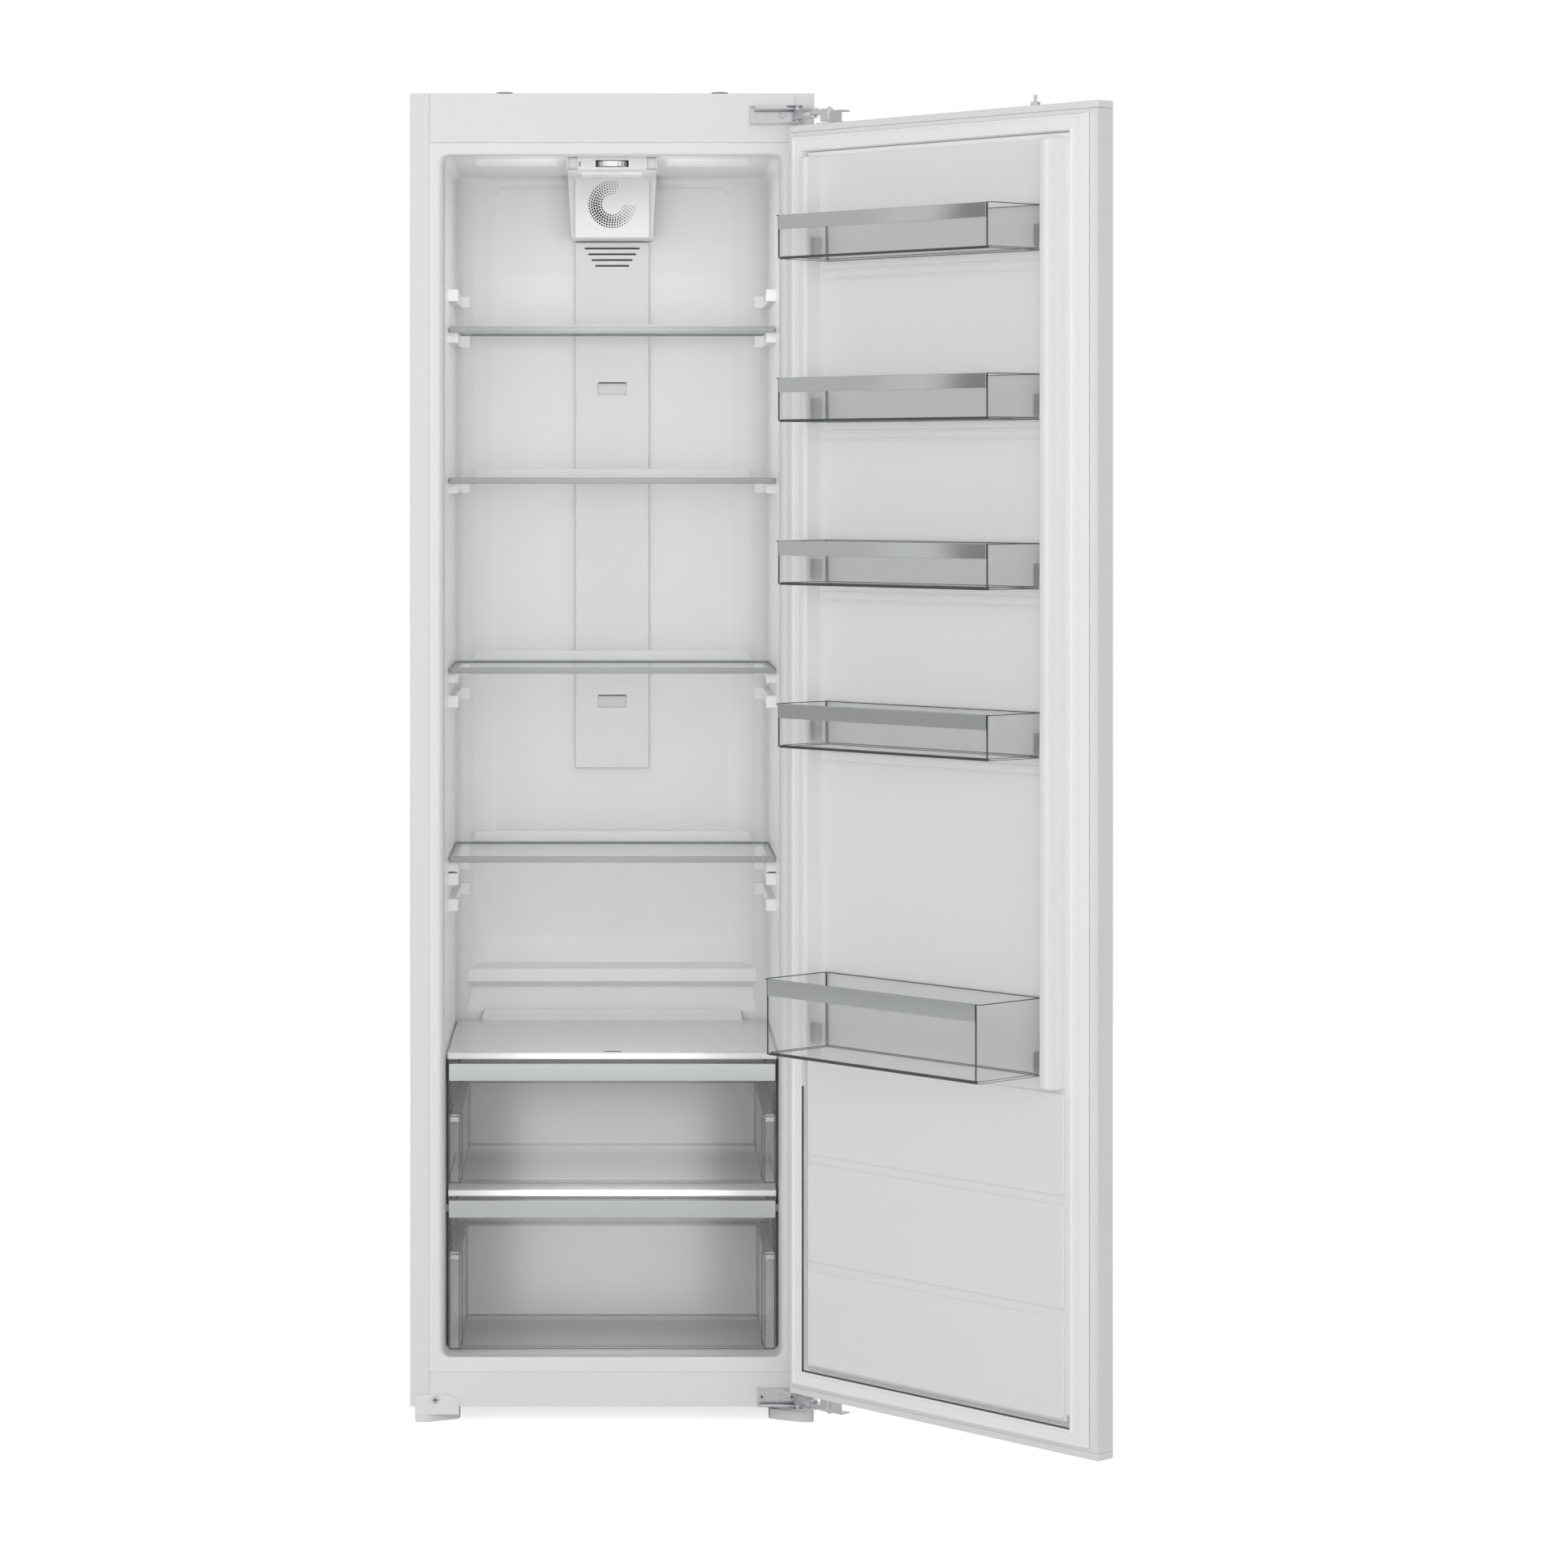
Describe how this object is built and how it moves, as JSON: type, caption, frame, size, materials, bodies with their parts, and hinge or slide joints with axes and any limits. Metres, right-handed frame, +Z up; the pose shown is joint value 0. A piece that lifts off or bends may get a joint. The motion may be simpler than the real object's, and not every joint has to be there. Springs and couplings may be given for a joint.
{
  "type": "refrigerator",
  "caption": "Built-in column refrigerator with a right-hinged door standing open, glass shelves, crisper drawers, clear door balconies and link hinges.",
  "frame": {"origin": "on the floor, the middle of the rear foot bar's sole, in the cabinet's middle plane", "axes": "+X to the viewer's right, where the door is hinged, +Y from the cabinet's front to its rear, +Z up"},
  "size_m": [0.8873, 0.9927, 1.777],
  "materials": {
    "white_steel": "satin white enamel",
    "white_plastic": "satin",
    "liner_plastic": "satin",
    "galvanised_steel": "dull zinc",
    "insulation": "rough foam",
    "shelf_glass": "polished",
    "smoky_clear": "clear, lightly smoked",
    "silver_trim": "silver grey",
    "chromed_steel": "zinc plated",
    "black_enamel": "black enamel",
    "aluminium": "mill",
    "gasket_rubber": "soft matt"
  },
  "bodies": {
    "cabinet": {"side_panel_left": "white_steel", "side_panel_right": "white_steel", "top_panel": "white_steel", "base_plate": "galvanised_steel", "back_panel": "galvanised_steel", "insulation_foam": "insulation", "inner_liner": "liner_plastic", "front_top_panel": "white_plastic", "front_bottom_panel": "white_plastic", "front_foot_left": "white_plastic", "front_foot_right": "white_plastic", "rear_foot_bar": "black_enamel", "compressor": "black_enamel", "condenser_coil": "black_enamel", "evaporator_plate": "aluminium", "air_duct_cover": "white_plastic", "fan_housing": "white_plastic", "fan_cover": "white_plastic", "fan_motor": "black_enamel", "control_housing": "white_plastic", "crisper_cover_glass": "shelf_glass", "crisper_cover_trim": "white_plastic", "drawer_divider": "white_plastic", "hinge_plate_upper": "chromed_steel", "hinge_plate_lower": "chromed_steel"},
    "door": {"door_outer_panel": "white_steel", "door_foam": "insulation", "door_liner": "liner_plastic", "door_gasket": "gasket_rubber", "door_cap_top": "white_plastic", "door_cap_bottom": "white_plastic", "hinge_bracket_upper": "chromed_steel", "hinge_bracket_lower": "chromed_steel"},
    "hinge_arm_lower": {"hinge_arm_lower": "chromed_steel"},
    "hinge_link_lower": {"hinge_link_lower": "chromed_steel"},
    "hinge_arm_upper": {"hinge_arm_upper": "chromed_steel"},
    "hinge_link_upper": {"hinge_link_upper": "chromed_steel"},
    "shelf_1": {"shelf_1_glass": "shelf_glass", "shelf_1_front_trim": "silver_trim", "shelf_1_rear_trim": "white_plastic"},
    "shelf_2": {"shelf_2_glass": "shelf_glass", "shelf_2_front_trim": "silver_trim", "shelf_2_rear_trim": "white_plastic"},
    "shelf_3": {"shelf_3_glass": "shelf_glass", "shelf_3_front_trim": "silver_trim", "shelf_3_rear_trim": "white_plastic"},
    "shelf_4": {"shelf_4_glass": "shelf_glass", "shelf_4_front_trim": "silver_trim", "shelf_4_rear_trim": "white_plastic"},
    "upper_drawer": {"upper_drawer_tub": "smoky_clear", "upper_drawer_trim": "silver_trim"},
    "lower_drawer": {"lower_drawer_tub": "smoky_clear", "lower_drawer_trim": "silver_trim"},
    "balcony_1": {"balcony_1": "smoky_clear"},
    "balcony_2": {"balcony_2": "smoky_clear"},
    "balcony_3": {"balcony_3": "smoky_clear"},
    "balcony_4": {"balcony_4": "smoky_clear"},
    "balcony_5": {"balcony_5": "smoky_clear"},
    "fan": {"fan_rotor": "white_plastic"},
    "thermostat": {"thermostat_dial": "white_plastic"}
  },
  "joints": [
    {"name": "door_hinge", "type": "hinge", "parent": "cabinet", "child": "door", "pos_m": [0.2654, -0.5138, 0.8975], "axis": [0, 0, 1], "range_deg": [-131.9, 0]},
    {"name": "hinge_arm_lower_pivot", "type": "hinge", "parent": "cabinet", "child": "hinge_arm_lower", "pos_m": [0.2464, -0.485, 0.0338], "axis": [0, 0, 1], "range_deg": [-133.1, 0]},
    {"name": "hinge_link_lower_pivot", "type": "hinge", "parent": "door", "child": "hinge_link_lower", "pos_m": [0.28582, -0.55392, 0.0338], "axis": [0, 0, 1], "range_deg": [0, 129.8]},
    {"name": "hinge_arm_upper_pivot", "type": "hinge", "parent": "cabinet", "child": "hinge_arm_upper", "pos_m": [0.2464, -0.485, 1.7452], "axis": [0, 0, 1], "range_deg": [-133.1, 0]},
    {"name": "hinge_link_upper_pivot", "type": "hinge", "parent": "door", "child": "hinge_link_upper", "pos_m": [0.28582, -0.55392, 1.7452], "axis": [0, 0, 1], "range_deg": [0, 129.8]},
    {"name": "shelf_1_slide", "type": "slide", "parent": "cabinet", "child": "shelf_1", "axis": [0, -1, 0], "range_m": [0, 0.15]},
    {"name": "shelf_2_slide", "type": "slide", "parent": "cabinet", "child": "shelf_2", "axis": [0, -1, 0], "range_m": [0, 0.15]},
    {"name": "shelf_3_slide", "type": "slide", "parent": "cabinet", "child": "shelf_3", "axis": [0, -1, 0], "range_m": [0, 0.15]},
    {"name": "shelf_4_slide", "type": "slide", "parent": "cabinet", "child": "shelf_4", "axis": [0, -1, 0], "range_m": [0, 0.15]},
    {"name": "upper_drawer_slide", "type": "slide", "parent": "cabinet", "child": "upper_drawer", "axis": [0, -1, 0], "range_m": [0, 0.25]},
    {"name": "lower_drawer_slide", "type": "slide", "parent": "cabinet", "child": "lower_drawer", "axis": [0, -1, 0], "range_m": [0, 0.18]},
    {"name": "balcony_1_lift", "type": "slide", "parent": "door", "child": "balcony_1", "axis": [0, 0, 1], "range_m": [0, 0.02]},
    {"name": "balcony_2_lift", "type": "slide", "parent": "door", "child": "balcony_2", "axis": [0, 0, 1], "range_m": [0, 0.02]},
    {"name": "balcony_3_lift", "type": "slide", "parent": "door", "child": "balcony_3", "axis": [0, 0, 1], "range_m": [0, 0.02]},
    {"name": "balcony_4_lift", "type": "slide", "parent": "door", "child": "balcony_4", "axis": [0, 0, 1], "range_m": [0, 0.02]},
    {"name": "balcony_5_lift", "type": "slide", "parent": "door", "child": "balcony_5", "axis": [0, 0, 1], "range_m": [0, 0.02]},
    {"name": "fan_spindle", "type": "hinge", "parent": "cabinet", "child": "fan", "pos_m": [0, -0.085, 1.64625], "axis": [0, 1, 0], "continuous": true},
    {"name": "thermostat_spindle", "type": "hinge", "parent": "cabinet", "child": "thermostat", "pos_m": [0, -0.4042, 1.68375], "axis": [0, 0, 1], "range_deg": [-135, 135]}
  ],
  "couplings": [
    {"joint": "hinge_arm_lower_pivot", "follows": "door_hinge", "ratio": 1.0089},
    {"joint": "hinge_link_lower_pivot", "follows": "door_hinge", "ratio": -0.9839},
    {"joint": "hinge_arm_upper_pivot", "follows": "door_hinge", "ratio": 1.0089},
    {"joint": "hinge_link_upper_pivot", "follows": "door_hinge", "ratio": -0.9839}
  ]
}
